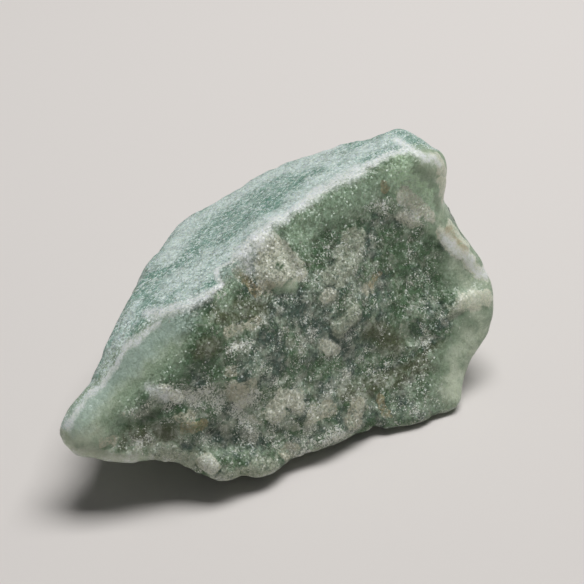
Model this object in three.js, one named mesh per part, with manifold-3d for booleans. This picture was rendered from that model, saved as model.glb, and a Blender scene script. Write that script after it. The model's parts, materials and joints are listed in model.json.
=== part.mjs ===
// A raw chunk of green aventurine: one broken piece of grainy quartz, about 88 mm long.
// It lies on a small flat spot under its thick half, and its pointed end reaches out over the table.
// Millimetres, +Z up, +X along the stone from its point to its thick end, -Y the wide rough front.
import * as THREE from "three";
import Module from "manifold-3d";
import { ImprovedNoise } from "three/addons/math/ImprovedNoise.js";
import { TessellateModifier } from "three/addons/modifiers/TessellateModifier.js";
import { mergeVertices } from "three/addons/utils/BufferGeometryUtils.js";

// ---- Driving dimensions ----
const GRAIN_EDGE = 3.5; // longest edge of a facet of the finished surface
const SPLIT_ROUNDS = 14; // halvings allowed to bring every edge below that
const WELD_GAP = 1e-3; // points nearer to each other than this are one corner
const WEAR_PASSES = 2; // how far the broken edges are worn round
const WEAR_SHARE = 0.5; // share of the way to its neighbours that one pass moves a point
const WEAR_LOSS = 0.3; // what the wear takes off the stone's edges, given back all over

// Lumps and hollows of the broken surface: [size across, height], on the rough faces.
const LUMPS = [
  [13, 0.9],
  [6, 0.6],
];
const SMOOTH_SHARE = 0.35; // the upper faces broke smoother than the front and the underside
const UPPER = { from: 0.55, full: 0.8 }; // how far up a face looks, 0 to 1, where that begins and is complete

const FLAKE_ROOT = 4; // how deep a flake reaches into the stone
const CHIP_FACET = 3.5; // size of the facets of a hollow
const TABLE = { side: 150, depth: 20 }; // the block that trims the resting spot flat

// Corners of the block where its fracture faces meet.
const CORNERS = {
  // The point.
  tipEnd: [-51.6, -6.6, 15],
  tipTop: [-49.6, -5.8, 17.8],
  tipLow: [-49.8, -8, 12],
  // The crest between the upper faces and the front, from the point to the peak.
  crest1: [-42, -4.5, 21.5],
  crest2: [-36.5, -4, 26.5],
  crest3: [-31, -3.5, 30],
  crest4: [-24.5, -7, 32.8],
  crest5: [-17.8, -7.8, 34.7],
  crest6: [-12, -3, 37],
  crest7: [-9, -2.3, 38.4],
  crest8: [-2.2, -1.8, 39.5],
  crest9: [9.5, -1.5, 42.5],
  crest10: [16.5, -1.5, 43],
  crest11: [23.5, -1, 44.5],
  crestEnd: [27.5, -4, 43],
  // The peak.
  stepFront: [15.5, 3.5, 43],
  stepBack: [23.5, 7.5, 43],
  peakLeft: [25.5, 6, 45],
  peakBack: [29, 5, 46],
  peakRight: [32, 0.5, 43.3],
  peakSide: [34, -2, 41],
  // The far edge of the top face.
  rim1: [-25, 10.5, 29],
  rim2: [-15, 20.5, 27.5],
  rim3: [-4, 22.5, 30],
  rim4: [9.5, 20.5, 35],
  rim5: [15.5, 16, 38.5],
  rim6: [21, 11.5, 41.5],
  // The top face's inner corners.
  top1: [-17.5, 3, 33.2],
  top2: [-3.5, 7.5, 36.3],
  top3: [10, 7, 40.2],
  // The narrow face between the top and the point.
  ledge1: [-30, -1.5, 30],
  ledge2: [-27, 4, 29.5],
  left1: [-43, -3, 20],
  left2: [-37, 0.5, 26],
  left3: [-30, 6, 29],
  // The lower edge of the bevel, where the front begins.
  brow1: [-47.5, -9, 17.5],
  brow2: [-38.5, -12, 20],
  brow3: [-34, -13, 22.5],
  brow4: [-27, -12.5, 27],
  brow5: [-18.5, -10, 30.5],
  // The front's inner corners, in rows from the crest down.
  front1: [-20, -12.5, 26],
  front2: [-11.5, -8, 31.5],
  front3: [-4, -11, 28],
  front4: [5, -12, 25],
  front5: [7.5, -6, 34],
  front6: [20.5, -4.5, 34.5],
  front7: [24, -12, 21],
  front8: [13.5, -14, 18.5],
  front9: [-27, -15, 21.5],
  front10: [-18, -16.5, 20.5],
  front11: [-5.5, -15, 19.5],
  front12: [4.5, -16.5, 13.5],
  front13: [16, -19, 10.5],
  front14: [-30, -17, 15.5],
  front15: [-21.5, -18.5, 11],
  front16: [-11, -20, 12],
  front17: [2, -21, 8],
  shelfIn: [28.5, -14, 18],
  shelfOut: [25.5, -17.5, 15],
  // The bottom edge of the front.
  base1: [-47.5, -11, 12],
  base2: [-39.5, -15.5, 10.5],
  base3: [-34.5, -17.5, 8],
  base4: [-29, -19.5, 5],
  base5: [-24.3, -23, 3.2],
  base6: [-13.5, -24, 3.5],
  base7: [-7, -24, 5],
  base8: [0, -23, 5],
  base9: [4, -22.5, 4.5],
  base10: [8, -25, 1],
  base11: [13.5, -26, 1.2],
  base12: [16.5, -26.7, 1.6],
  foot: [20.6, -28.3, 0.4],
  // The right edge of the front, with the notch above the bulge.
  notch1: [32.5, -4, 38.5],
  notch2: [30, -6, 33.5],
  notch3: [29, -8.5, 28.8],
  notch4: [30.8, -9.8, 26.3],
  notch5: [33, -12.5, 24.8],
  bulge1: [37, -14, 20.5],
  bulge2: [37, -17.5, 16],
  bulge3: [34, -20, 11.5],
  bulge4: [30, -22, 9],
  bulge5: [25.5, -23.5, 5.5],
  shelf1: [35, -3.5, 28],
  shelf2: [35.5, -6.5, 25],
  shelf3: [36, -10, 22.5],
  // The back and the end, at half height.
  waist1: [-24, 17, 20],
  waist2: [-8, 28, 18],
  waist3: [12, 28, 20],
  waist4: [28, 18, 24],
  waist5: [37, 2, 20],
  // Where the back and the end turn under.
  low1: [-41, 3, 13],
  low2: [-28, 14, 10],
  low3: [-12, 24, 9],
  low4: [8, 27, 8],
  low5: [24, 20, 7],
  low6: [34, 4, 8],
  low7: [35, -8, 8],
  low8: [28, -18, 2],
  // The spot that the stone lies on, a little below the table so that the table's plane trims it flat.
  spot1: [-9, -12, -0.6],
  spot2: [9, -14, -0.6],
  spot3: [15, -5, -0.6],
  spot4: [12, 8, -0.6],
  spot5: [-4, 9, -0.6],
  spot6: [-10, 1, -0.6],
};

// Fracture faces. Each goes round its corners anticlockwise, as seen from outside.
const FACES = [
  // The top.
  "rim1 ledge2 ledge1 crest3 crest4 top1",
  "top1 crest4 crest5 crest6 crest7 top2",
  "top2 crest7 crest8 crest9 top3",
  "top3 crest9 crest10 stepFront rim6",
  "rim4 top2 top3 rim6 rim5",
  "rim3 top1 top2 rim4",
  "rim2 rim1 top1 rim3",
  // The narrow face beside the top, and the bevel above the front.
  "tipTop crest1 left1",
  "left1 crest1 crest2 left2",
  "left2 crest2 crest3 ledge1 ledge2 left3",
  "left3 ledge2 rim1",
  "tipTop brow1 brow2 crest1",
  "crest1 brow2 brow3 crest2",
  "crest2 brow3 crest3",
  "crest3 brow3 brow4 crest4",
  "crest4 brow4 brow5 crest5",
  "crest5 brow5 crest6",
  // The front.
  "crest7 crest6 brow5 front1 front2",
  "crest8 crest7 front2 front3",
  "crest8 front3 front4 front5",
  "crest9 crest8 front5",
  "crest10 crest9 front5 front6",
  "crestEnd crest11 crest10 front6 notch2 notch1",
  "front6 front5 front4 front8",
  "notch2 front6 front8 front7 notch3",
  "notch3 front7 bulge1 notch5 notch4",
  "bulge1 front7 shelfIn bulge2",
  "bulge2 shelfIn shelfOut bulge3",
  "front7 front8 front13 shelfOut shelfIn",
  "bulge3 shelfOut front13 bulge5 bulge4",
  "bulge5 front13 base12 foot",
  "front4 front3 front11 front12",
  "front8 front4 front12 front13",
  "front3 front2 front1 front10 front11",
  "brow5 brow4 front1",
  "brow4 brow3 front9 front10 front1",
  "front9 brow3 brow2 front14",
  "brow2 brow1 base1 base2 base3 front14",
  "front14 base3 base4 front15",
  "front10 front9 front14 front15",
  "front15 base4 base5 base6 front16",
  "front11 front10 front15 front16",
  "front12 front11 front16 front17",
  "front17 front16 base6 base7 base8 base9",
  "front13 front12 front17 base9 base10 base11 base12",
  // The point and the peak.
  "tipTop tipEnd tipLow base1 brow1",
  "tipTop left1 low1 tipLow tipEnd",
  "crest10 crest11 peakLeft stepBack rim6 stepFront",
  "crest11 crestEnd peakRight peakBack peakLeft",
  "crestEnd notch1 peakSide peakRight",
  // The end, behind the notch and round the bulge.
  "notch2 notch3 notch4 notch5 bulge1 shelf3 shelf2 shelf1",
  "peakRight peakSide notch1 notch2 shelf1 shelf2 waist5 waist4 peakBack",
  "shelf2 shelf3 bulge1 bulge2 bulge3 low7 low6 waist5",
  "bulge3 bulge4 bulge5 foot low8 low7",
  // The back.
  "left1 left2 left3 rim1 waist1 low2 low1",
  "rim1 rim2 waist2 waist1",
  "rim2 rim3 rim4 waist3 waist2",
  "rim4 rim5 rim6 stepBack peakLeft peakBack waist4 waist3",
  "waist1 waist2 low3 low2",
  "waist2 waist3 low4 low3",
  "waist3 waist4 low5 low4",
  "waist4 waist5 low6 low5",
  // The underside.
  "tipLow low1 low2 spot6 spot1 base5 base4 base3 base2 base1",
  "spot1 spot2 foot base12 base11 base10 base9 base8 base7 base6 base5",
  "spot2 spot3 low7 low8 foot",
  "spot3 spot4 low5 low6 low7",
  "spot4 spot5 low3 low4 low5",
  "spot5 spot6 low2 low3",
  "spot1 spot6 spot5 spot4 spot3 spot2",
];

// Flat flakes that stand proud of the front: at, the middle of the flake's surface; out, the way it faces;
// outline, its corners from there, along the stone and up the face.
const FLAKES = {
  underCrest: {
    at: [-8.2, -5.6, 35.2],
    out: [-0.08, -0.69, 0.72],
    outline: [[-1, 4.5], [2.5, 3.5], [2.5, -0.5], [3, -4.5], [0, -4.5], [-2.5, -3.5], [-4, 0], [-3.5, 2.5]],
  },
  tall: {
    at: [6.1, -8.8, 30.4],
    out: [0.08, -0.78, 0.62],
    outline: [
      [1, 6], [4, 4.5], [4, 1.5], [1.5, -2.5], [-1, -5.5],
      [-4, -6], [-4.5, -3], [-3.5, 0.5], [-1, 3.5],
    ],
  },
  belowTall: {
    at: [3.3, -14, 22.2],
    out: [0.02, -0.84, 0.54],
    outline: [[-1.5, 4], [3.5, 2.5], [3, -1], [0.5, -2.5], [-3, -3], [-3.5, 1]],
  },
  shelf: {
    at: [30.2, -17.2, 16.6],
    out: [-0.09, -0.86, 0.5],
    outline: [[-3.5, 3], [1, 2], [5.5, 1.5], [5, -2.5], [1, -5], [-5.5, -3], [-6, 1]],
  },
  ledge: {
    at: [-31.3, -16.6, 16.3],
    out: [-0.23, -0.8, 0.55],
    outline: [[-2, 2], [1.5, 1], [2.5, -1], [0, -1.5], [-2.5, 0.5]],
  },
  bottomBand: {
    at: [-25, -21.7, 6.8],
    out: [-0.12, -0.91, 0.39],
    outline: [[-6.5, 3], [-3.5, 3], [1.5, 2], [6.5, -1], [5, -2.5], [0.5, -2.5], [-4, -0.5]],
  },
};

// Shell-shaped hollows where a chip came off: at, a point of the face; out, the way the face looks there;
// rim, how wide the hollow is; depth, at its middle.
const CHIPS = [
  // The front, from the crest down.
  { at: [-0.2, -7.2, 32.7], out: [0.07, -0.77, 0.63], rim: 9, depth: 0.6 },
  { at: [18.1, -9.3, 26.8], out: [0.04, -0.88, 0.48], rim: 15, depth: 0.9 },
  { at: [-11.6, -10.6, 28.4], out: [-0.03, -0.79, 0.61], rim: 8, depth: 0.6 },
  { at: [-3.3, -18.3, 14.1], out: [0.08, -0.88, 0.46], rim: 10, depth: 0.7 },
  { at: [19.3, -16.9, 15.1], out: [-0.09, -0.8, 0.59], rim: 9, depth: 0.6 },
  { at: [-25.9, -16.3, 17.6], out: [-0.12, -0.94, 0.3], rim: 7, depth: 0.6 },
  { at: [-32.9, -13.1, 22.6], out: [-0.2, -0.85, 0.49], rim: 2.4, depth: 0.6 },
  { at: [-27, -17.5, 12.5], out: [-0.03, -0.98, 0.22], rim: 4, depth: 0.8 },
  { at: [-40.8, -13, 15.5], out: [-0.36, -0.89, 0.28], rim: 8, depth: 0.6 },
  { at: [-14.3, -20.5, 9], out: [-0.08, -0.96, 0.26], rim: 8, depth: 0.6 },
  // Nicks along its bottom edge and along the crest.
  { at: [4.1, -23.3, 4.7], out: [-0.19, -0.98, -0.05], rim: 6, depth: 1 },
  { at: [-3.7, -24.3, 5.8], out: [-0.07, -0.98, -0.19], rim: 5, depth: 0.8 },
  { at: [-23.6, -21.6, 3.7], out: [-0.44, -0.87, -0.24], rim: 3, depth: 0.6 },
  { at: [-6.7, -1.6, 38.8], out: [-0.24, -0.17, 0.96], rim: 5, depth: 0.5 },
  { at: [7.1, -1.6, 41.8], out: [-0.21, -0.4, 0.89], rim: 7, depth: 0.5 },
  { at: [-22.9, -6.9, 33.3], out: [-0.29, -0.31, 0.91], rim: 6, depth: 0.5 },
  { at: [-13.2, 16.9, 29.8], out: [-0.28, 0.39, 0.88], rim: 7, depth: 0.5 },
  // The end and the back.
  { at: [32.1, 3.9, 32.7], out: [0.91, 0.35, 0.22], rim: 12, depth: 1 },
  { at: [36, 0, 14], out: [0.96, 0.07, -0.26], rim: 14, depth: 1.1 },
  { at: [19.9, 20.9, 25.9], out: [0.44, 0.82, 0.36], rim: 18, depth: 1.4 },
  { at: [0, 25.5, 24.2], out: [-0.08, 0.91, 0.42], rim: 22, depth: 1.6 },
  { at: [10, 27.3, 11.9], out: [0.19, 0.9, -0.38], rim: 20, depth: 1.4 },
  { at: [-20.8, 19.3, 17.2], out: [-0.61, 0.79, 0.08], rim: 16, depth: 1.3 },
  { at: [-33.7, 7.6, 17.9], out: [-0.64, 0.72, 0.26], rim: 12, depth: 0.9 },
  { at: [-28.8, -4.2, 6.6], out: [-0.41, 0.11, -0.91], rim: 18, depth: 1.2 },
];

// ---- The block, with a triangle from each side of a face to the face's middle ----
function block() {
  const points = [];
  for (const face of FACES) {
    const ring = face.split(" ").map((name) => new THREE.Vector3(...CORNERS[name]));
    const middle = new THREE.Vector3();
    ring.forEach((corner) => middle.addScaledVector(corner, 1 / ring.length));
    ring.forEach((corner, i) => points.push(corner, ring[(i + 1) % ring.length], middle));
  }
  return new THREE.BufferGeometry().setFromPoints(points);
}

// The same surface as one closed mesh of small facets that share their corners.
function fine(geometry) {
  const small = new TessellateModifier(GRAIN_EDGE, SPLIT_ROUNDS).modify(geometry.toNonIndexed());
  for (const name of Object.keys(small.attributes)) {
    if (name !== "position") small.deleteAttribute(name);
  }
  return mergeVertices(small, WELD_GAP);
}

function neighbours(geometry) {
  const index = geometry.index.array;
  const near = Array.from({ length: geometry.attributes.position.count }, () => new Set());
  for (let i = 0; i < index.length; i += 3) {
    for (let k = 0; k < 3; k++) {
      const [a, b] = [index[i + k], index[i + ((k + 1) % 3)]];
      near[a].add(b);
      near[b].add(a);
    }
  }
  return near;
}

// Wears the edges round: each point moves part of the way to the middle of its neighbours.
function worn(geometry) {
  const place = geometry.attributes.position;
  const near = neighbours(geometry);
  for (let pass = 0; pass < WEAR_PASSES; pass++) {
    const was = Float32Array.from(place.array);
    for (let v = 0; v < place.count; v++) {
      for (let axis = 0; axis < 3; axis++) {
        let mean = 0;
        for (const n of near[v]) mean += was[3 * n + axis] / near[v].size;
        place.array[3 * v + axis] += WEAR_SHARE * (mean - was[3 * v + axis]);
      }
    }
  }
  geometry.computeVertexNormals();
  return geometry;
}

// Adds the lumps and hollows, pushing each point along its normal.
function broken(geometry) {
  const noise = new ImprovedNoise();
  const place = geometry.attributes.position;
  const normal = geometry.attributes.normal;
  const p = new THREE.Vector3();
  const n = new THREE.Vector3();
  for (let v = 0; v < place.count; v++) {
    p.fromBufferAttribute(place, v);
    n.fromBufferAttribute(normal, v);
    const smooth = THREE.MathUtils.smoothstep(n.z, UPPER.from, UPPER.full);
    const share = THREE.MathUtils.lerp(1, SMOOTH_SHARE, smooth);
    let height = WEAR_LOSS;
    for (const [size, rise] of LUMPS) {
      height += share * rise * noise.noise(p.x / size, p.y / size, p.z / size + size);
    }
    p.addScaledVector(n, height);
    place.setXYZ(v, p.x, p.y, p.z);
  }
  return geometry;
}

// Turns a tool's +Z to face out of the stone, with its +X along the stone, and puts it in place.
function placed(geometry, at, out) {
  const z = new THREE.Vector3(...out).normalize();
  const x = new THREE.Vector3(1, 0, 0).projectOnPlane(z).normalize();
  const y = z.clone().cross(x);
  return geometry.applyMatrix4(new THREE.Matrix4().makeBasis(x, y, z).setPosition(...at));
}

// A flake, with its outline drawn on the surface and its root inside the stone.
function flake({ at, out, outline }) {
  const shape = new THREE.Shape(outline.map(([u, v]) => new THREE.Vector2(u, v)));
  const slab = new THREE.ExtrudeGeometry(shape, { depth: FLAKE_ROOT, bevelEnabled: false });
  return placed(slab.translate(0, 0, -FLAKE_ROOT), at, out);
}

// The ball that takes a hollow of this rim and depth off the surface.
function chip({ at, out, rim, depth }) {
  const radius = (rim * rim) / (8 * depth) + depth / 2;
  const ball = new THREE.IcosahedronGeometry(radius, Math.round(radius / CHIP_FACET));
  return placed(ball.translate(0, 0, radius - depth), at, out);
}

// ---- manifold-3d: adds the flakes, takes off the chips, and trims the resting spot at the table ----
const wasm = await Module();
wasm.setup();

function solid(geometry) {
  const g = geometry.clone();
  for (const name of ["normal", "uv"]) g.deleteAttribute(name);
  const merged = mergeVertices(g, WELD_GAP);
  const mesh = new wasm.Mesh({
    numProp: 3,
    vertProperties: merged.attributes.position.array,
    triVerts: merged.index.array,
  });
  return new wasm.Manifold(mesh);
}

function geometryOf(shape) {
  const { numProp, vertProperties, triVerts } = shape.getMesh();
  const place = new Float32Array((vertProperties.length / numProp) * 3);
  for (let v = 0; 3 * v < place.length; v++) {
    place.set(vertProperties.subarray(numProp * v, numProp * v + 3), 3 * v);
  }
  const g = new THREE.BufferGeometry().setIndex(new THREE.BufferAttribute(triVerts, 1));
  return g.setAttribute("position", new THREE.BufferAttribute(place, 3));
}

const table = new THREE.BoxGeometry(TABLE.side, TABLE.side, TABLE.depth).translate(0, 0, -TABLE.depth / 2);

let fresh = solid(block());
for (const one of Object.values(FLAKES)) fresh = fresh.add(solid(flake(one)));
for (const one of CHIPS) fresh = fresh.subtract(solid(chip(one)));
const weathered = solid(broken(worn(fine(geometryOf(fresh)))));
const stoneShape = geometryOf(weathered.subtract(solid(table)));

// The origin is on the table, under the middle of the stone's length and width.
stoneShape.computeBoundingBox();
const middle = stoneShape.boundingBox.getCenter(new THREE.Vector3());
stoneShape.translate(-middle.x, -middle.y, 0);

const stone = new THREE.Mesh(
  stoneShape,
  new THREE.MeshStandardMaterial({ color: 0x6f8a78, roughness: 0.6, metalness: 0 }),
);
stone.name = "aventurine";

const part = new THREE.Group();
part.add(stone);
export default part;
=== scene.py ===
# %% [markdown]
# # A raw green aventurine stone
#
# Aventurine is quartzite: quartz sand that heat and pressure welded into one rock, coloured by flakes
# of green mica. This stone is a hand-sized chunk, broken off a bigger block and never cut or polished.
#
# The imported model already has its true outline, its ledges and its broken faces. What is left for
# Blender is what a hand lens shows: the sugary grain, small pits and steps, the worn white edges and
# the way green, grey, cream and rust lie over each other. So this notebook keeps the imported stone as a
# fixed frame, copies it, gives the copy a fine skin and then paints that skin with nodes.

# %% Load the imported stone
import json
from math import cos, radians, sin, tan

import bpy
import numpy
from mathutils import Matrix, Vector, noise
from mathutils.bvhtree import BVHTree

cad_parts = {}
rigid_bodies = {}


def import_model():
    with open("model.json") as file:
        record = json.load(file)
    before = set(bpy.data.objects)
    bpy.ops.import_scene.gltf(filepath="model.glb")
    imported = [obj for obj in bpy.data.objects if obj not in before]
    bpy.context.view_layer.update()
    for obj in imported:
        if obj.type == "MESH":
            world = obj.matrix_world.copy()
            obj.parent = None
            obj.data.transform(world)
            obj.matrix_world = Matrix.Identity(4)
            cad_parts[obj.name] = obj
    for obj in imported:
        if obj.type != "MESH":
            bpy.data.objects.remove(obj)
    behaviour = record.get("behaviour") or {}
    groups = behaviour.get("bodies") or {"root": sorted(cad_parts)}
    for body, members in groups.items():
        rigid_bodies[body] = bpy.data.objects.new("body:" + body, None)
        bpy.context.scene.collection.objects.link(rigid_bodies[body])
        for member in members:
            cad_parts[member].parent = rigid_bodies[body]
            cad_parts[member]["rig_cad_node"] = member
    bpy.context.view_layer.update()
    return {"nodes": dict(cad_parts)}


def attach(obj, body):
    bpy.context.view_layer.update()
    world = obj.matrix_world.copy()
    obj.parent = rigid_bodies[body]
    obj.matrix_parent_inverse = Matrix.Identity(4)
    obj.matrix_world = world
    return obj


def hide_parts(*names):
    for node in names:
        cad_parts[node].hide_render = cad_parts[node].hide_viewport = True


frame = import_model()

MM = 0.001

# %% [markdown]
# ## A copy to work on
#
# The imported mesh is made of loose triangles, and it stays as it is, because it stands for the true
# weight and shape of the part. A new block could be modelled from a primitive, but then every facet
# would have to be found again. A duplicate starts at the right size and in the right place. Its
# triangles are welded first, so that neighbours share their corners and the surface is closed.

# %% Duplicate and weld the stone
WELD_GAP = 0.001 * MM

bpy.ops.object.select_all(action="DESELECT")
packed = frame["nodes"]["aventurine"]
packed.select_set(True)
bpy.context.view_layer.objects.active = packed
bpy.ops.object.duplicate()
stone = bpy.context.active_object
stone.name = stone.data.name = "aventurine_stone"
del stone["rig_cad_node"]

bpy.ops.mesh.customdata_custom_splitnormals_clear()
bpy.ops.object.mode_set(mode="EDIT")
bpy.ops.mesh.select_all(action="SELECT")
bpy.ops.mesh.remove_doubles(threshold=WELD_GAP)
bpy.ops.object.mode_set(mode="OBJECT")
print("welded:", len(stone.data.vertices), "points,", len(stone.data.polygons), "faces")

# %% [markdown]
# ## A skin fine enough for the grain
#
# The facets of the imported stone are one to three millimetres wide, and the grains of this rock are
# half a millimetre. Subdividing would cut long thin facets into long thin slivers. A voxel remesh
# wraps the form in one even net instead, and a few rounds of smoothing then take the straight facet
# edges off it. Real broken quartzite has no straight facet edges at that size.

# %% Remesh and soften
SKIN = 0.42 * MM
SOFT_ROUNDS = 7
SOFT_SHARE = 0.5


def finish_modifier(piece, kind, **settings):
    """Adds one modifier with these settings and applies it."""
    modifier = piece.modifiers.new(kind.lower(), kind)
    for name, value in settings.items():
        setattr(modifier, name, value)
    bpy.context.view_layer.objects.active = piece
    bpy.ops.object.modifier_apply(modifier=modifier.name)


finish_modifier(stone, "REMESH", mode="VOXEL", voxel_size=SKIN)
finish_modifier(stone, "SMOOTH", factor=SOFT_SHARE, iterations=SOFT_ROUNDS)
print("skin:", len(stone.data.vertices), "points,", len(stone.data.polygons), "faces")

# %% [markdown]
# ## Where things are on the stone
#
# The colours of a rock follow its history. Edges that were knocked are white, and thin flakes of cream
# and rust quartz sit in bands. Some places hold painted light instead: painted shade in the hollows and
# clefts, and a painted glow where light comes back out of the stone. Each such place is named here once,
# in millimetres, as a route of points along the surface and, last, its width. A texture painted by hand
# could hold the same, but a list of places can be read and changed.

# %% Helpers that measure the skin
NOISE_SEED = 5

# Blender takes this seed from the clock unless it is given one, and then no two runs are alike.
noise.seed_set(NOISE_SEED)


def array_of(mesh, name, width=3):
    """The position or normal of every point of a mesh, as rows of numbers."""
    flat = numpy.empty(len(mesh.vertices) * width, numpy.float32)
    mesh.vertices.foreach_get(name, flat)
    return flat.reshape(-1, width).astype(float)


def near(points, route, width):
    """1 on a route of points in mm, laid on the skin, and falling evenly to 0 at its width."""
    stops = [numpy.array(stop) * MM for stop in route]
    stops = [points[numpy.linalg.norm(points - stop, axis=1).argmin()] for stop in stops]
    best = numpy.zeros(len(points))
    for start, stop in zip(stops, stops[1:]):
        along = stop - start
        share = ((points - start) @ along / max(along @ along, WELD_GAP ** 2)).clip(0, 1)
        gap = numpy.linalg.norm(points - start - share[:, None] * along, axis=1)
        best = numpy.maximum(best, 1 - gap / (width * MM))
    return best.clip(0, 1)


def nearest_of(points, places):
    """The strongest of several places at every point."""
    return numpy.max([near(points, route, width) for *route, width in places.values()], axis=0)


def wandered(points, *steps):
    """The points, each pushed by noise of these (size, reach) steps in mm, so that borders wander."""
    moved = [Vector(point) for point in points]
    for size, reach in steps:
        moved = [place + noise.noise_vector(place / (size * MM)) * reach * MM for place in moved]
    return numpy.array(moved)


def eased(values, low, high):
    """0 below low, 1 above high and a smooth slope between them."""
    share = ((values - low) / (high - low)).clip(0, 1)
    return share * share * (3 - 2 * share)


# %% Name the worn edges, in mm
WORN_EDGES = {
    "crest, middle": [(-6, -4, 36.5), (-2, -3, 38.5), (2, -2, 39), (4, -2, 39.5), 2.7],
    "crest, saddle": [(4, -2, 39.5), (8.5, -1.5, 40.5), (10.5, -1, 41), 1.8],
    "crest, high": [(10.5, -1, 41), (12.5, -1, 41.5), (17.5, -0.5, 42.5), (21, -0.5, 43), 3.2],
    "crest, end": [(21, -0.5, 43), (26, -0.5, 43.5), (29.5, -1, 44.5), (32.5, -2, 44.5), 1.6],
    "peak line": [(32, 1.5, 45), (32.5, -2, 44.5), (34.5, -4.5, 43), (37, -5, 41.5), 1.5],
    "lip, right": [(-6, -4, 36.5), (-10.5, -4.5, 35), (-12, -7.5, 34.5), (-15.5, -8, 33.5), 1.0],
    "lip, left": [(-15.5, -8, 33.5), (-19, -7.5, 32.5), (-22, -5.5, 31.5), (-23.5, -3.5, 30), 2.4],
    "bevel": [(-23.5, -6.5, 30), (-27, -6, 28), (-29, -5.5, 27), (-31.5, -6, 24.5), (-34.5, -6.5, 22),
              (-40.5, -7.5, 19), (-43, -8.5, 17), 1.4],
}
RIMS = {
    "edge of the notch": [(35.5, -10, 28), (37.5, -11.5, 25), (38.5, -12.5, 24), (41.5, -15, 20), 2.2],
    "left edge of the flake": [(-2, -4, 37.5), (-4.5, -5, 37), (-6, -6.5, 35), 2.8],
    "haze on the ledge": [(-29, -13, 22.5), (-27, -14.5, 21), 1.8],
}
print("worn edges and rims:", len(WORN_EDGES) + len(RIMS))

# %% Name the flakes, the stains and the sugary drifts, in mm
CREAM = {
    "flake under the crest": [(-2, -4.5, 37.5), (-2, -6, 36), (-3, -8, 34), 2.8],
    "its right edge": [(0.5, -5.5, 37), (1.5, -7, 35), (2.5, -8.5, 33.5), 2.6],
    "its low corner": [(-4, -8.5, 33), (3, -9.5, 32.5), 2.4],
    "peak flake": [(29, -5, 37), (30.5, -5.5, 36), (31.5, -6.5, 34.5), 2.3],
    "peak flake, low": [(28, -7, 34), (30, -8, 32.5), 1.7],
    "peak flake, right": [(31.5, -6.5, 34.5), (33, -8, 32.5), 1.8],
    "side of the peak": [(37, -4.5, 41.5), (37.5, -5, 40), (38, -5.5, 37.5), (38, -6.5, 35), 2.4],
    "edge of the notch": [(35, -9.5, 29), (36, -10.5, 27), (38.5, -12.5, 24), (41.5, -15, 20), 2.0],
    "behind the notch": [(37.5, -8.5, 29.5), (40, -10.5, 25.5), 2.0],
    "pair": [(4.5, -16.5, 19.5), (6, -17, 18.5), 1.9],
    "above the column": [(-15, -17, 19.5), (-14.5, -18, 16.5), 2.2],
    "low lump, left": [(-9, -20.5, 12.5), (-6.5, -19.5, 14), (-4.5, -20.5, 13), 2.8],
    "low left": [(-24, -20.5, 8.5), (-22, -21.5, 8), 1.7],
    "shelf": [(35, -18, 18), (40, -18.5, 17), 3.0],
    "pale dot": [(7.5, -13, 27.5), (8, -13, 27.5), 1.8],
    "white corner": [(-27, -14.5, 22.5), (-25, -15.5, 20.5), 1.6],
}
GREY = {
    "tall band": [(16.5, -7.5, 33.5), (13, -10, 31), (11, -11, 30), 3.6],
    "slanting flake": [(12, -15.5, 23.5), (8, -16, 21.5), 2.8],
    "under the shelf": [(32.5, -18.5, 17), (34, -18.5, 17.5), 2.2],
    "foot": [(-20, -22, 5.5), (-12, -23.5, 4), 3.0],
    "left foot": [(-42, -10.5, 13), (-39.5, -12.5, 12), (-36, -15, 11), 2.6],
    "low left": [(-31, -17, 12), (-26, -19, 9), 2.4],
}
TAN = {
    "left lump": [(-15.5, -18, 19), (-13.5, -18.5, 19.5), 2.4],
    "left dot": [(-15, -16.5, 22.5), (-15, -16.5, 22.5), 1.6],
    "low lump, middle": [(-2, -22, 9.5), (2, -22, 9.5), 2.2],
    "low lump, right": [(6, -23.5, 5.5), (7.5, -22.5, 8), 2.8],
    "pink foot": [(-8.5, -23, 4), (-7, -22.5, 5), 2.2],
    "pink ledge": [(-26, -17, 17.5), (-23.5, -17.5, 17), 1.5],
    "second pale dot": [(16, -13, 25), (17.5, -12.5, 25), 1.7],
    "tip": [(-38.5, -13, 15), (-37, -13.5, 15), 1.1],
    "below the crevice": [(-5, -9.5, 32), (-3, -10, 31), 1.6],
    "olive band": [(-13, -13, 28.5), (-8, -13, 28), 1.6],
}
RUST = {
    "crest": [(25, -3.5, 40.5), (25, -4.5, 39), 1.2],
    "crevice": [(-8, -7, 35.5), (-5.5, -9.5, 31.5), 1.1],
    "second pale dot": [(18, -12, 26), (20, -11, 26), 1.2],
    "low left": [(-25, -17.5, 15), (-22, -18.5, 14), 1.5],
    "low right": [(13, -22.5, 7.5), (13.5, -24, 4.5), 1.2],
    "notch": [(36.5, -9.5, 29), (39, -12.5, 25), 1.6],
}
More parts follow.
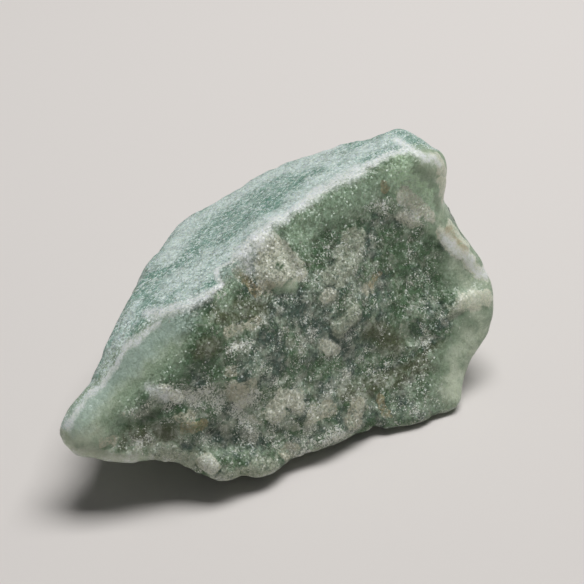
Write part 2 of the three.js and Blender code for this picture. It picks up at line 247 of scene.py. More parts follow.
WHITE = {
    "high": [(22.5, -5, 37.5), (24, -5.5, 36.5), 2.4],
    "under the peak": [(28.5, -6.5, 35), (32, -8, 32.5), 3.0],
    "middle": [(0, -15.5, 22.5), (2, -15.5, 22), 2.4],
    "low": [(8, -19, 13.5), (9, -19.5, 13), 1.8],
    "right": [(25, -15, 19), (26.5, -15, 19.5), 2.0],
    "right, lower": [(26, -18.5, 14.5), (25.5, -19.5, 13), 1.3],
    "left": [(-14.5, -14.5, 25.5), (-10, -15, 25), 1.2],
    "ledge": [(-33, -13.5, 19), (-28.5, -15, 21), (-26, -15, 22), 2.0],
    "rim of the hole": [(-29, -13, 22.5), (-27, -14.5, 21), (-24.5, -15, 20.5), 2.8],
    "beside the hole": [(-24, -15.5, 20.5), (-17.5, -17.5, 19), 2.8],
    "far left": [(-37, -13.5, 14), (-31, -16, 13.5), 1.6],
    "low middle": [(-5, -23, 3.5), (3.5, -23.5, 4), 2.4],
    "column": [(-15.5, -18.5, 15.5), (-14, -20.5, 10.5), 2.4],
    "above the column": [(-17.5, -17.5, 19), (-15, -18.5, 16), (-12.5, -19, 16.5), 2.8],
    "below the flake": [(3, -9.5, 32), (4, -10, 31.5), 1.6],
}
print("flakes, stains and drifts:", sum(map(len, (CREAM, GREY, TAN, RUST, WHITE))))

# %% Name the undercut, the clefts, and the rubbed faces with their painted glow, in mm
UNDERCUT = {
    "under the point": [(-42, -10.5, 12.5), (-36, -14.5, 10.5), (-29, -18, 7.5), (-23.5, -20, 5.5), 7.0],
}
CLEFTS = {
    "beside the flake": [(3, -4.5, 38), (2.5, -6.5, 35.5), (3, -9, 32.5), 1.3],
    "crevice": [(-8, -7, 35.5), (-7, -8, 33.5), 1.3],
    "beside the slanting flake": [(15, -14, 23.5), (12, -16.5, 21), (9, -17, 19.5), 1.3],
    "beside the tall band": [(12, -7.5, 33.5), (10.5, -8.5, 32), (9.5, -10.5, 30.5), 1.1],
    "under the ledge": [(-32, -15.5, 17.5), (-29, -16, 18.5), (-27, -16, 19), 1.4],
    "under the pair": [(6, -17.5, 18), (4.5, -18, 17.5), 1.0],
    "under the shelf": [(31.5, -19.5, 15.5), (33.5, -19, 16), 1.4],
    "window": [(-20.5, -18.5, 12), (-19.5, -18.5, 12), 1.7],
}
# These places are rubbed smooth, and they also get a painted glow of light coming back out of the stone.
RUBBED_AND_GLOWING = {
    "right side": [(38, -13.5, 23.5), (39.5, -16.5, 19), (38, -20, 16), (35.5, -21.5, 11.5),
                   (31.5, -23.5, 8.5), (29.5, -25, 5.5), 8.0],
    "side of the peak": [(34.5, -4.5, 43.5), (37.5, -5.5, 41), (38.5, -6, 37), (38, -7, 33), 5.5],
    "tip": [(-45, -9, 15), (-40, -10, 17), 7.5],
    "notch": [(36, -8, 31), (38, -11, 27.5), (38, -13.5, 23.5), 5.0],
    "upper bevel": [(-40, -9.5, 19), (-31, -8.5, 25), (-24, -9.5, 29), 6.5],
    "left foot": [(-42, -11, 13), (-38, -13.5, 12), (-33, -16, 11), 2.2],
    "below the flake": [(-1.5, -10, 31.5), (1, -10.5, 31), 2.0],
}
SMOOTH = {
    "lower bevel": [(-38, -11.5, 17.5), (-28, -11.5, 24), (-20, -11.5, 28.5), 6.0],
    "under the crest": [(5, -4.5, 37.5), (15, -4.5, 39.5), (25, -4, 41), 4.5],
    "above the flake": [(-5, -4.5, 36.5), (-1, -4, 37.5), (3, -3.5, 38.5), 3.0],
    "front of the peak": [(31, -4.5, 41.5), (34.5, -7, 37), 5.0],
    "foot": [(-21.5, -21.5, 6.5), (-10.5, -23.5, 3.5), 3.5],
}
print("undercut, clefts and rubbed faces:", sum(map(len, (UNDERCUT, CLEFTS, RUBBED_AND_GLOWING, SMOOTH))))

# %% Name the greens, the painted glow and light, the pale places and the haze, in mm
# Painted glow: pale green where light comes back out of the stone, under the crest, on the bevel, at the tip
# and on the front of the peak.
GREEN_GLOW = {
    "under the crest": [(5, -4.5, 37.5), (11, -4, 39.5), (16.5, -4.5, 40.5), (22.5, -4, 41),
                        (28, -4, 42), 5.5],
    "front of the peak": [(30, -4.5, 41.5), (33.5, -6, 39.5), (35, -7.5, 35.5), 7.5],
    "bevel": [(-38, -10.5, 19), (-33, -10.5, 22), (-29, -10.5, 24.5), (-25, -11, 27), 4.5],
    "tip": [(-42, -10, 15.5), (-38, -12, 17), 4.0],
    "corner of the lip": [(-8, -7, 34.5), (-12, -9.5, 33), 2.5],
}
SPECKLED = {
    "foot": [(-24, -18, 14), (-14, -19.5, 12), (-2, -21, 11), (6, -21, 9), 6.5],
    "left": [(-24, -16, 19), (-16, -17, 19), 4.0],
    "far left": [(-38, -13.5, 13.5), (-30, -16.5, 13), 4.5],
    "under the peak": [(26, -6.5, 35), (33, -8, 32), 4.0],
}
HAZE = {
    "upper bevel": [(-41, -8.5, 18), (-34, -7.5, 22.5), (-28, -7.5, 27), (-20.5, -8.5, 31.5), 4.0],
    "left of the flake": [(-10, -6, 35), (-8, -6, 35.5), 2.4],
}
# Painted light: pale green on the front of the peak, by the notch and on the bevel, where the faces catch the
# light.
LIT = {
    "front of the peak": [(31, -5, 41.5), (34, -6, 39.5), (35, -7.5, 36), 8.5],
    "above the notch": [(33.5, -9, 31), (35, -9.5, 29), 3.0],
    "bevel": [(-36, -10, 19.5), (-30, -9.5, 24), (-24, -10, 28), 3.0],
    "notch": [(38, -10.5, 28), (38.5, -13, 24), 3.0],
}
GREEN = {
    "under the crest": [(6.5, -4.5, 37.5), (15, -4.5, 39.5), (25, -4, 39.5), 7.0],
    "below that": [(5.5, -7.5, 34), (14, -6, 36.5), (19.5, -6, 36.5), 5.0],
    "right": [(31.5, -9.5, 29.5), (33.5, -12, 24), (33, -14.5, 20), 5.0],
    "middle": [(24, -8, 30.5), (25.5, -11, 25), (23.5, -15, 20), (20, -18, 15), 5.5],
    "lower bevel": [(-30, -11.5, 24), (-25.5, -11.5, 26), (-21, -12.5, 28), (-15.5, -12, 30.5),
                    (-10, -10, 31.5), 5.0],
    "low left": [(-38, -13, 15), (-32.5, -14.5, 17), (-27.5, -16, 18), (-23.5, -18, 16.5), 5.0],
    "column": [(-18, -16, 23), (-16, -17.5, 19), 3.5],
}
TEAL = {
    "middle": [(-0.5, -12, 29), (6, -15.5, 22), 6.0],
    "right of it": [(9.5, -16.5, 21), (18, -16, 19), 5.0],
    "left of it": [(-7, -16, 23.5), (-12, -17.5, 22), 4.5],
    "low left": [(-22, -18.5, 13), (-18, -20, 10), 4.5],
}
OLIVE = {
    "below the bevel": [(-19.5, -14, 27), (-17, -14, 27.5), 3.0],
    "below the lip": [(-13, -11, 31), (-6, -12, 29.5), 3.5],
    "right of the middle": [(15, -16.5, 18.5), (20, -18.5, 14), 4.0],
    "low left": [(-37, -13.5, 14), (-28, -17, 14), 4.0],
    "low right": [(6, -21, 11), (12, -21.5, 10), (22, -21.5, 9.5), (28, -21, 11), 3.5],
}
PALE_TOP = {
    "far rim": [(-14, 9, 30.5), (-5, 17.5, 29.5), (10, 17, 34), (23, 11.5, 40), 5.5],
    "right": [(16.5, 12, 38), (22.5, 5, 42), (30, 3, 44.5), 5.0],
    "left": [(-17.5, 0, 31.5), (-9, 0.5, 34.5), 5.0],
    "along the crest": [(-3, 0, 37), (12, -0.5, 41), 3.5],
    # The left rim is painted pale: painted light on a steep face that gets little of the lamp.
    "painted light on the left rim": [(-34, -5, 23), (-30, -3, 26.5), (-24, 1.5, 29), 2.5],
    "right of the middle": [(9, 1.5, 40), (17, 2.5, 41.5), (21.5, 2, 42.5), 4.0],
    "low haze": [(-18, -5, 32.5), (-12, -3.5, 34), (-6, -2, 36), 3.5],
}
print("greens, pale places and haze:",
      sum(map(len, (GREEN_GLOW, SPECKLED, HAZE, LIT, GREEN, TEAL, OLIVE, PALE_TOP))))

# %% [markdown]
# ## Which faces are fresh and which are worn
#
# The top was split along the bed of the rock, so it is flat and fine. The bevel, the right edge and
# the crest were rubbed smooth. The other faces are fresh breaks, coarse as sugar. Each kind is a
# mask, one number from 0 to 1 for every point. Vertex groups tell the modifiers where to act, and
# float attributes carry masks to the material. The borders of a flake should wander, so its mask is
# measured from points that noise has pushed about.

# %% Helpers that keep a mask
def write_mask(piece, name, values):
    """Keeps a mask on a piece as a float attribute, which its material can read."""
    layer = piece.data.attributes.new(name, "FLOAT", "POINT")
    layer.data.foreach_set("value", values.astype(numpy.float32))


def write_group(piece, name, values, steps=20):
    """Keeps a mask on a piece as a vertex group, which its modifiers can read."""
    group = piece.vertex_groups.new(name=name)
    rounded = (values * steps).round().astype(int)
    for step in range(1, steps + 1):
        group.add(numpy.flatnonzero(rounded == step).tolist(), step / steps, "REPLACE")


# %% Find the split top
BORDER_STEPS = ((3.0, 0.6), (1.0, 0.5))
FLAT_TOP_SLOPE = (0.15, 0.6)
TOP_HEIGHT = (12 * MM, 17 * MM)
BEHIND_CREST = (-1.2 * MM, 0.8 * MM)

skin_points = array_of(stone.data, "co")
ragged_points = wandered(skin_points, *BORDER_STEPS)
skin_normals = array_of(stone.data, "normal")
CREST = ("bevel", "lip, left", "lip, right", "crest, middle", "crest, saddle", "crest, high", "crest, end")
crest_stops = sorted(stop for name in CREST for stop in WORN_EDGES[name][:-1])
crest_x, crest_y = numpy.array(crest_stops)[:, :2].T * MM
behind_crest = skin_points[:, 1] - numpy.interp(skin_points[:, 0], crest_x, crest_y)
top = (eased(skin_normals[:, 2], *FLAT_TOP_SLOPE) * eased(skin_points[:, 2], *TOP_HEIGHT)
       * eased(behind_crest, *BEHIND_CREST))
print("share of the skin that is split top:", round(float(top.mean()), 2))

# %% Find the worn, the rubbed and the rough places
FRONT_OF_EDGE = (0.1, 0.7)
WEAR_IN_FRONT = 0.3
RIM_WEAR = 0.9
FOOT_HEIGHT = (0.1 * MM, 1.6 * MM)
CALM_OF_SMOOTH, CALM_OF_TOP, CALM_OF_FLAKE = 0.85, 0.6, 0.4

faces_up = eased(skin_normals[:, 2], *FRONT_OF_EDGE)
worn_line = nearest_of(ragged_points, WORN_EDGES) * (WEAR_IN_FRONT + (1 - WEAR_IN_FRONT) * faces_up)
worn_line = numpy.maximum(worn_line, RIM_WEAR * nearest_of(ragged_points, RIMS))
rubbed_and_glowing = nearest_of(skin_points, RUBBED_AND_GLOWING)
rubbed = numpy.maximum(eased(rubbed_and_glowing, 0.0, 0.6), eased(nearest_of(skin_points, SMOOTH), 0.0, 0.8))
flakes = eased(numpy.maximum(nearest_of(ragged_points, CREAM), nearest_of(ragged_points, GREY)), 0.3, 0.6)
clefts = eased(nearest_of(ragged_points, CLEFTS), 0.1, 0.8)
above_foot = eased(skin_points[:, 2], *FOOT_HEIGHT)
smooth = numpy.maximum(rubbed, eased(worn_line, 0.1, 0.6))
rough = above_foot * (1 - CALM_OF_SMOOTH * smooth) * (1 - CALM_OF_TOP * top) * (1 - CALM_OF_FLAKE * flakes)
print("rough share of the skin:", round(float(rough.mean()), 2))

# %% [markdown]
# ## Relief, from lumps down to grains
#
# Sculpting would give one stone and teach nothing, so four displacements are stacked, each finer and
# shallower than the one before: lumps, broken steps, pits and grains. Each reads a texture that
# Blender makes from the position alone, so nothing has to be unwrapped. The rubbed faces are rounded
# first. Flakes are raised a little at the end, and the clefts beside them are cut.

# %% Helpers that move the skin
def push(piece, group, depth):
    """Moves a group of points out along their normals, or in where the depth is below zero."""
    finish_modifier(piece, "DISPLACE", strength=depth, mid_level=0.0, vertex_group=group)


def relief(piece, group, name, width, depth, **look):
    """Moves a group of points in and out by noise of this width. The depth is from low to high."""
    pattern = bpy.data.textures.new(name, "CLOUDS")
    pattern.noise_scale = width
    for setting, value in look.items():
        setattr(pattern, setting, value)
    finish_modifier(piece, "DISPLACE", texture=pattern, texture_coords="LOCAL", strength=depth,
                    mid_level=0.5, vertex_group=group)


# %% Stack the displacements
ROUNDING = 20
RUBBED_OUT = 0.3 * MM
UNDERCUT_OUT = 0.8 * MM
FLAKES_OUT = 0.15 * MM
CLEFTS_OUT = -0.25 * MM
RELIEF = (
    ("lumps", 5 * MM, 0.7 * MM, {"noise_depth": 2}),
    ("ledges", 3 * MM, 0.18 * MM, {"noise_depth": 2, "contrast": 3}),
    ("pits", 1.6 * MM, 0.14 * MM, {"noise_depth": 1, "noise_type": "HARD_NOISE"}),
    ("grains", 0.8 * MM, 0.11 * MM, {"noise_depth": 1}),
)

write_group(stone, "rounded", rubbed * above_foot)
write_group(stone, "rough", rough)
write_group(stone, "flakes", flakes * above_foot)
write_group(stone, "clefts", clefts * above_foot)
write_group(stone, "undercut", eased(nearest_of(skin_points, UNDERCUT), 0.0, 0.8))

finish_modifier(stone, "SMOOTH", factor=SOFT_SHARE, iterations=ROUNDING, vertex_group="rounded")
push(stone, "rounded", RUBBED_OUT)
push(stone, "undercut", UNDERCUT_OUT)
for name, width, depth, look in RELIEF:
    relief(stone, "rough", name, width, depth, **look)
push(stone, "flakes", FLAKES_OUT)
push(stone, "clefts", CLEFTS_OUT)
print("relief applied to", len(stone.data.vertices), "points")

# %% [markdown]
# ## The flat spot it rests on
#
# A rock settles on the few points that reach lowest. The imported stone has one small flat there, so
# the skin is pressed flat at the same height, and nothing of it reaches below the table.

# %% Press the foot flat
PRESS = 0.12 * MM

points = array_of(stone.data, "co")
points[:, 2] = numpy.where(points[:, 2] < PRESS, 0, points[:, 2])
stone.data.vertices.foreach_set("co", points.astype(numpy.float32).ravel())
stone.data.update()
print("points pressed flat:", int((points[:, 2] == 0).sum()))

# %% [markdown]
# ## Wear, painted shade in hollows and painted glow at thin edges
#
# Rubbing whitens whatever stands proud. What lies low and the clefts get painted shade, and small raised
# points get a few painted highlights. How proud a point stands is its height above the same skin after
# many rounds of averaging with its neighbours. Thin edges let light through, and that glow is painted
# into the colour, so the depth of stone behind each point is measured too, by a few rays shot inwards.

# %% Helpers that compare the skin with its surroundings
def averaged(mesh, values, rounds):
    """The values after that many rounds of averaging each point with its neighbours."""
    ends = numpy.empty(len(mesh.edges) * 2, numpy.int32)
    mesh.edges.foreach_get("vertices", ends)
    one, other = ends[0::2], ends[1::2]
    count = len(values)
    share = numpy.bincount(one, minlength=count) + numpy.bincount(other, minlength=count)
    for _ in range(rounds):
        around = [numpy.bincount(one, column[other], count) + numpy.bincount(other, column[one], count)
                  for column in values.T]
        values = 0.5 * values + 0.5 * numpy.stack(around, axis=1) / share[:, None]
    return values


def proud(mesh, rounds):
    """How far each point stands out of the averaged skin, in mm."""
    places = array_of(mesh, "co")
    calm = averaged(mesh, places, rounds)
    return ((places - calm) * array_of(mesh, "normal")).sum(axis=1) / MM


# %% Measure how thin the stone is
RAY_LEANS = [(0, 0, 0), (0.8, 0, 0), (-0.8, 0, 0), (0, 0.8, 0), (0, 0, -0.8)]
CALM_NORMALS = 12
RAY_START = 0.3 * MM
DEEPEST = 25 * MM
THIN_TO_THICK = (4 * MM, 20 * MM)
THIN_ROUNDS = 20


def depth_behind(mesh, limit):
    """How much stone lies behind each point, in metres, up to a limit."""
    corners = array_of(mesh, "co")
    tree = BVHTree.FromPolygons(corners.tolist(), [face.vertices[:] for face in mesh.polygons])
    inwards = -averaged(mesh, array_of(mesh, "normal"), CALM_NORMALS)
    found = []
    for corner, direction in zip(corners, inwards):
        start = Vector(corner) + Vector(direction) * RAY_START
        hits = [tree.ray_cast(start, Vector(direction) + Vector(lean), limit)[3] for lean in RAY_LEANS]
        found.append(sum(limit if hit is None else hit for hit in hits) / len(RAY_LEANS))
    return numpy.array(found)


# The thinner the stone, the stronger the glow painted into its colour.
thin = 1 - eased(depth_behind(stone.data, DEEPEST), *THIN_TO_THICK)
thin = averaged(stone.data, thin[:, None], THIN_ROUNDS)[:, 0]
print("thin share of the skin:", round(float(thin.mean()), 2))

# %% Measure what stands proud and what lies low
BROAD_ROUNDS, CLOSE_ROUNDS, FINE_ROUNDS = 60, 9, 3
BROAD_RISE, BROAD_DIP, CLOSE_STEP, FINE_STEP = (0.3, 1.0), (0.1, 0.9), (0.02, 0.25), (0.0, 0.06)
WEAR_OF_RISE = 0.6
CLEAN_FLAKE = 0.8
SHADED_CLEFT = 0.9
DEEPEST_HOLLOW = 1.5

broad = proud(stone.data, BROAD_ROUNDS)
close = proud(stone.data, CLOSE_ROUNDS)
fine = proud(stone.data, FINE_ROUNDS)
wear = (eased(broad, *BROAD_RISE) * WEAR_OF_RISE + worn_line).clip(0, 1)
# Painted shade: this mask darkens the low places and the clefts beside the flakes.
hollow_shade = 0.5 * eased(-broad, *BROAD_DIP) + 0.5 * eased(-close, *CLOSE_STEP)
hollow_shade = (hollow_shade * (1 - CLEAN_FLAKE * flakes) + SHADED_CLEFT * clefts).clip(0, DEEPEST_HOLLOW)
print("worn share:", round(float(wear.mean()), 2), " hollow share:", round(float(hollow_shade.mean()), 2))

# %% Hand the masks to the material
MOST_SOFT = 0.75
COLOUR_PLACES = {
    "cream": CREAM, "grey": GREY, "tan": TAN, "rust": RUST, "white": WHITE, "green_glow": GREEN_GLOW,
    "speckled": SPECKLED, "haze": HAZE, "lit": LIT, "green": GREEN, "teal": TEAL, "olive": OLIVE,
    "pale_top": PALE_TOP,
}

masks = {
    "wear": wear,
    # painted shade in the low places and the clefts
    "hollow_shade": hollow_shade,
    # raised points, which get a few painted highlights
    "proud": 0.5 * eased(close, *CLOSE_STEP) + 0.5 * eased(fine, *FINE_STEP),
    # thin and rubbed places get a painted glow
    "thin": thin,
    "top": top,
    "rubbed_and_glowing": nearest_of(points, RUBBED_AND_GLOWING).clip(0, MOST_SOFT),
    "calm": eased(nearest_of(points, SMOOTH), 0.0, 0.7),
}
masks.update({name: nearest_of(ragged_points, places) for name, places in COLOUR_PLACES.items()})
for name, values in masks.items():
    write_mask(stone, name, values)
print("masks written:", len(masks))

# %% [markdown]
# ## The aventurine material
#
# Seen close, the rock is clear to milky quartz grains over a green ground. A picture of a rock could
# be wrapped round it, but it would stretch on the ledges and repeat. Here every pattern is worked out
# from the position in the stone, so it runs through the rock as the real grain does. A material is a
# tree of nodes, and a few short helpers keep the code that plants them readable.

# %% Helpers for colours, nodes and sums
MID_NOISE = (0.5, 0.5, 0.5)


def linear(red, green, blue):
    """A colour as seen on a screen, from 0 to 255, as the linear values that a shader takes."""
    return tuple(((value / 255 + 0.055) / 1.055) ** 2.4 if value > 10 else value / 255 / 12.92
                 for value in (red, green, blue)) + (1.0,)


def put(tree, kind, inputs=(), **settings):
    """Adds a node, sets it up and joins or fills its inputs."""
    made = tree.nodes.new(kind)
    for name, value in settings.items():
        setattr(made, name, value)
    for name, value in dict(inputs).items():
        if isinstance(value, bpy.types.NodeSocket):
            tree.links.new(value, made.inputs[name])
        else:
            made.inputs[name].default_value = value
    return made


def mask(tree, name):
    """The float attribute of that name."""
    return put(tree, "ShaderNodeAttribute", attribute_name=name, attribute_type="GEOMETRY").outputs["Fac"]


def total(tree, *terms):
    """The sum of several (value, weight) pairs."""
    added = 0.0
    for value, weight in terms:
        added = put(tree, "ShaderNodeMath", {0: value, 1: weight, 2: added},
                    operation="MULTIPLY_ADD").outputs[0]
    return added


def maths(tree, operation, one, other):
    """One step of arithmetic."""
    return put(tree, "ShaderNodeMath", {0: one, 1: other}, operation=operation).outputs[0]


def slope(tree, value, low, high, start=0.0, stop=1.0):
    """Maps low to start and high to stop, with a smooth slope between."""
    return put(tree, "ShaderNodeMapRange", {
        "Value": value, "From Min": low, "From Max": high, "To Min": start, "To Max": stop,
    }, interpolation_type="SMOOTHSTEP").outputs["Result"]


print("mid grey on a screen, 128, is", round(linear(128, 128, 128)[0], 2), "to a shader")


# %% Helpers for noise, cells and blends
def clouds(tree, where, size, detail=3.0, roughness=0.55, distortion=0.0):
    """Soft noise whose lumps are about this many metres wide."""
    return put(tree, "ShaderNodeTexNoise", {"Vector": where, "Scale": 1 / size, "Detail": detail,
                                            "Roughness": roughness, "Distortion": distortion})


def cells(tree, where, size):
    """Cells about this many metres wide."""
    return put(tree, "ShaderNodeTexVoronoi", {"Vector": where, "Scale": 1 / size})


def mixed(tree, share, one, other):
    """Two colours blended by a share. A Mix node keeps its colours on sockets 6, 7 and 2."""
    made = put(tree, "ShaderNodeMix", data_type="RGBA")
    for index, value in ((0, share), (6, one), (7, other)):
        if isinstance(value, bpy.types.NodeSocket):
            tree.links.new(value, made.inputs[index])
        else:
            made.inputs[index].default_value = value
    return made.outputs[2]


# %% [markdown]
# ### The green ground
#
# Between the grains the rock is clear and dark, so one sees a few millimetres into it. Green mica lies
# there in drifts, from teal to green, and iron has stained it olive in places. Milky veils hang in front
# of it. Light coming back out of the stone is painted in: a pale green glow under the crest, on the bevel,
# at the tip and on the front of the peak, and painted light on the peak, the notch and the bevel. Where
# the stone is thin or rubbed, a pale glow is painted too.
# Painting each drift with a hard border would look like a map. So every named mask goes through
# spread, which lets noise shift its border before a slope turns it into a share of colour.

# %% Choose the greens
DEEP_GREEN = linear(88, 118, 84)
DEEP_TEAL = linear(84, 105, 93)
DEEP_OLIVE = linear(100, 108, 78)
# Painted glow, for light coming back out of the stone.
GREEN_GLOW_TINT = linear(171, 197, 168)
# Painted light, for faces that catch the lamp.
LIT_GREEN = linear(222, 248, 214)
VEIL = linear(190, 196, 180)
# Painted glow, for light coming back out where the stone is thin or rubbed.
PALE_GREEN_GLOW = linear(157, 177, 150)
PALE_GLOW = linear(216, 226, 202)
TOP_TEAL = linear(126, 165, 149)
TOP_PALE = linear(190, 217, 206)
TOP_RIM = linear(214, 233, 226)
# Pale turquoise, for the haze on the front and for the painted glow on the top.
TURQUOISE = linear(184, 206, 194)
print("deepest green, for the shader:", [round(value, 3) for value in DEEP_GREEN[:3]])

# %% Colour the ground
EDGE_PULL = 1.6
MID_EDGE = 0.5 * EDGE_PULL
DRIFT = 5 * MM
STAIN = 3 * MM
VEILS = 2.2 * MM


def spread(tree, name, edge, low=0.1, high=0.7):
    """A named mask whose border wanders with the noise and breaks up into grains."""
    pulled = total(tree, (mask(tree, name), 1.0), (edge, EDGE_PULL))
    return slope(tree, pulled, MID_EDGE + low, MID_EDGE + high)


def ground(tree, where, edge):
    """The colour between the grains, with the painted glow and the painted light of the greens."""
    drift = clouds(tree, where, DRIFT, 4.0, 0.6).outputs["Fac"]
    stain = clouds(tree, where, STAIN, 4.0, 0.65).outputs["Fac"]
    veils = clouds(tree, where, VEILS, 6.0, 0.7, 0.6).outputs["Fac"]
    colour = mixed(tree, slope(tree, drift, 0.42, 0.58), DEEP_TEAL, DEEP_GREEN)
    for name, tint in (("teal", DEEP_TEAL), ("green", DEEP_GREEN), ("olive", DEEP_OLIVE)):
        colour = mixed(tree, maths(tree, "MULTIPLY", spread(tree, name, edge), 0.9), colour, tint)
    colour = mixed(tree, slope(tree, stain, 0.52, 0.66, 0.0, 0.5), colour, DEEP_OLIVE)
    veiled = total(tree, (veils, 1.0), (mask(tree, "white"), 0.1), (mask(tree, "speckled"), 0.04),
                   (mask(tree, "green"), -0.05))
    colour = mixed(tree, slope(tree, veiled, 0.45, 0.66, 0.0, 0.75), colour, VEIL)
    # Painted glow and painted light: pale greens where light comes back out of the stone and where faces
    # catch the light.
    for name, tint in (("green_glow", GREEN_GLOW_TINT), ("lit", LIT_GREEN)):
        colour = mixed(tree, maths(tree, "MULTIPLY", spread(tree, name, edge, -0.1, 0.9), 0.85), colour, tint)
    return colour


# %% Paint the glow of the thin and rubbed places, and pale the top
TOP_DRIFT = 4 * MM


def with_painted_glow(tree, edge, colour, glow):
    """The ground with a painted glow where the stone is thin or rubbed, which lets light back out."""
    lit = total(tree, (mask(tree, "rubbed_and_glowing"), 1.0), (mask(tree, "thin"), 0.35), (edge, 1.3))
    colour = mixed(tree, slope(tree, lit, 0.75, 1.2, 0.0, 0.9), colour, PALE_GREEN_GLOW)
    return mixed(tree, slope(tree, lit, 1.15, 1.75), colour, glow)


def top_ground(tree, where, edge):
    """The paler, bluer colour of the split top."""
    drift = slope(tree, clouds(tree, where, TOP_DRIFT, 5.0, 0.65).outputs["Fac"], 0.42, 0.65, 0.0, 0.5)
    colour = mixed(tree, drift, TOP_TEAL, TOP_PALE)
    return mixed(tree, spread(tree, "pale_top", edge, 0.1, 0.9), colour, TOP_RIM)


# %% [markdown]
# ### Flakes and stains
#
# The named places come in as soft cones. Noise is added before the cone is cut off, which gives each
# patch a ragged outline of its own. Small gaps are left in the patches, fewest in the cream ones, so
# that the green shows through. They go on before the grains, because the grains run over them.

# %% Choose the patches
CREAM_QUARTZ = linear(231, 233, 213)
GREY_QUARTZ = linear(193, 201, 179)
TAN_QUARTZ = linear(216, 214, 191)
RUST_IRON = linear(184, 168, 128)
# Each patch has a mask, a colour, its strength and how far it breaks up.
PATCHES = (("grey", GREY_QUARTZ, 0.95, 1.0), ("cream", CREAM_QUARTZ, 0.95, 0.7),
           ("tan", TAN_QUARTZ, 0.8, 1.0), ("rust", RUST_IRON, 0.65, 1.0))
print("patches, with their strength:", {row[0]: row[2] for row in PATCHES})

# %% Lay the patches over the ground
CRUMB = 2.6 * MM
CRUMB_WARP, CRUMB_REACH = 1.5 * MM, 2.0 * MM
BREAKS = 0.9 * MM
GAPS = 0.45 * MM


def warped(tree, where, size, reach):
    """Positions pushed about by noise, to make straight cell walls ragged."""
    pushed = clouds(tree, where, size, 2.0).outputs["Color"]
    centred = put(tree, "ShaderNodeVectorMath", {0: pushed, 1: MID_NOISE}, operation="SUBTRACT")
    scaled = put(tree, "ShaderNodeVectorMath", {0: centred.outputs[0], "Scale": reach}, operation="SCALE")
    return put(tree, "ShaderNodeVectorMath", {0: where, 1: scaled.outputs[0]}, operation="ADD").outputs[0]


def spots(tree, where, size, *crowding):
    """Spots of this size. The more crowding there is, the more of them are bright."""
    cell = cells(tree, where, size)
    tone = put(tree, "ShaderNodeSeparateColor", {"Color": cell.outputs["Color"]}).outputs[0]
    shape = slope(tree, cell.outputs["Distance"], 0.28, 0.52, 1.0, 0.0)
    return maths(tree, "MULTIPLY", slope(tree, total(tree, (tone, 0.6), *crowding), 0.8, 1.25), shape)


def mottled(tree, where, least):
    """1 with small gaps that fall to the least value, so that no patch looks flat."""
    return slope(tree, clouds(tree, where, GAPS, 3.0, 0.7).outputs["Fac"], 0.4, 0.53, least, 1.0)


def patched(tree, where, edge, colour):
    """The ground with its grey, cream, tan and rust patches, and with crumbs of cream quartz."""
    crumbs = spots(tree, warped(tree, where, CRUMB_WARP, CRUMB_REACH), CRUMB,
                   (mask(tree, "speckled"), 0.25), (mask(tree, "rubbed_and_glowing"), -0.4), (mask(tree, "calm"), -0.3),
                   (mask(tree, "green"), -0.35), (mask(tree, "teal"), -0.15), (edge, 0.8))
    colour = mixed(tree, maths(tree, "MULTIPLY", crumbs, 0.6), colour, CREAM_QUARTZ)
    crumbly = slope(tree, clouds(tree, where, BREAKS, 4.0, 0.7).outputs["Fac"], 0.38, 0.54, 0.45, 1.0)
    crumbly = maths(tree, "MULTIPLY", crumbly, mottled(tree, where, 0.5))
    for name, tint, share, broken in PATCHES:
        whole = total(tree, (crumbly, broken), (1.0, 1 - broken))
        patch = maths(tree, "MULTIPLY", spread(tree, name, edge, 0.2, 0.42), whole)
        colour = mixed(tree, maths(tree, "MULTIPLY", patch, share), colour, tint)
    return colour


# %% [markdown]
# ### The grains
#
# A few grains are milky and nearly white, and most are clear and show the green below. Fine noise that
# is cut off sharply stands in for the small ones, and Voronoi cells for the larger ones, each a spot
# with a brightness of its own. The positions are warped a little first, or the spots would look
# printed. On the split top the same grains are drawn out along the bed.

# %% Scatter the grains
MILKY = linear(240, 243, 232)
SUGAR = 0.28 * MM
GRAIN = 0.7 * MM
GRAIN_WARP, GRAIN_REACH = 0.8 * MM, 0.5 * MM
SWARM = 2.6 * MM
print("small grains", round(SUGAR / MM, 2), "mm and large ones", round(GRAIN / MM, 2), "mm wide")


def frost(tree, where, size, *crowding):
    """Fine ragged specks of this size. The more crowding there is, the more of them there are."""
    speck = clouds(tree, where, size, 2.0, 0.65).outputs["Fac"]
    return slope(tree, total(tree, (speck, 1.0), *crowding), 0.88, 0.93)


def sugar(tree, where):
    """How milky the broken faces are, from 0 to 1."""
    crowd = clouds(tree, where, SWARM, 4.0, 0.7).outputs["Fac"]
    # Raised points get a few more milky specks, as painted highlights.
    places = ((mask(tree, "white"), 0.16), (mask(tree, "speckled"), 0.04), (mask(tree, "rubbed_and_glowing"), -0.2),
              (mask(tree, "calm"), -0.06), (mask(tree, "green"), -0.05), (mask(tree, "teal"), -0.045),
              (mask(tree, "olive"), -0.05), (mask(tree, "proud"), 0.04), (mask(tree, "lit"), -0.06))
    fine = frost(tree, where, SUGAR, (crowd, 0.85), (1.0, -0.155), *places)
    coarse = spots(tree, warped(tree, where, GRAIN_WARP, GRAIN_REACH), GRAIN, (crowd, 0.9),
                   (mask(tree, "white"), 0.3), (mask(tree, "rubbed_and_glowing"), -0.5), (mask(tree, "green"), -0.25))
    return total(tree, (fine, 0.9), (coarse, 0.35))


# %% Draw the grains out on the split top
TOP_MILKY = linear(228, 243, 237)
BED_TURN = (0.0, radians(-11), radians(8))
BED_DRAWN = (1.8, 1.0, 1.0)
BED_SUGAR = 0.30 * MM
BED_GRAIN = 1.1 * MM
BED_WARP, BED_REACH = 0.6 * MM, 0.6 * MM
BED_SWARM = 1.8 * MM
print("drawn out along the bed by", BED_DRAWN[0])


